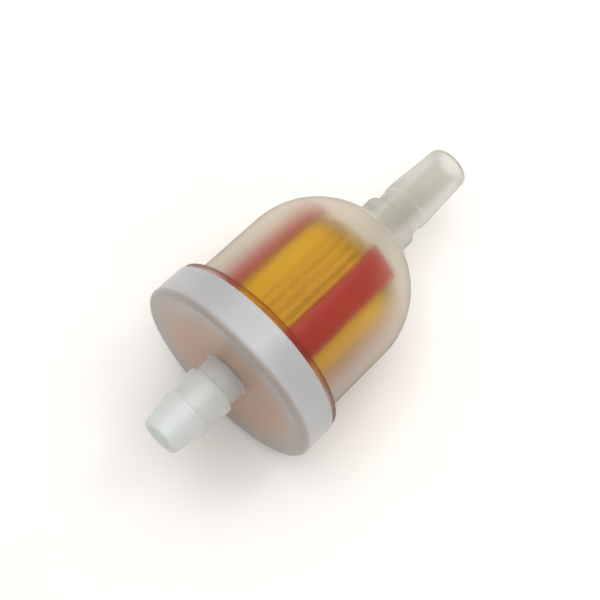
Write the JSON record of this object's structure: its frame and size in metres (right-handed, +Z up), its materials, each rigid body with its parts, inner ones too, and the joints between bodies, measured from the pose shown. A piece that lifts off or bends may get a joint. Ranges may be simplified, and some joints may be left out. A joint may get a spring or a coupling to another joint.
{
  "type": "in-line fuel filter",
  "caption": "Translucent in-line fuel filter with a domed bowl, welded cap, hose barb at each end and a pleated paper element in a ribbed red cage.",
  "frame": {"origin": "centre of the bounding box, on the flow axis", "axes": "+X along the flow axis from the inlet barb to the outlet barb; +Z up when the filter lies on its side"},
  "size_m": [0.054, 0.027, 0.027],
  "materials": {
    "cap_nylon": "milky translucent nylon, satin",
    "bowl_nylon": "frosted translucent nylon, satin",
    "weld_nylon": "melted nylon",
    "red_plastic": "moulded red plastic, satin",
    "yellow_paper": "resin-treated filter paper",
    "adhesive": "set adhesive",
    "natural_plate": "browned nylon"
  },
  "bodies": {
    "root": {"inlet_cap": "cap_nylon", "bowl": "bowl_nylon", "weld_ring": "weld_nylon", "element_cage": "red_plastic", "filter_paper": "yellow_paper", "seam_glue": "adhesive", "base_glue": "adhesive", "end_glue": "adhesive", "end_plate": "natural_plate"}
  },
  "joints": []
}
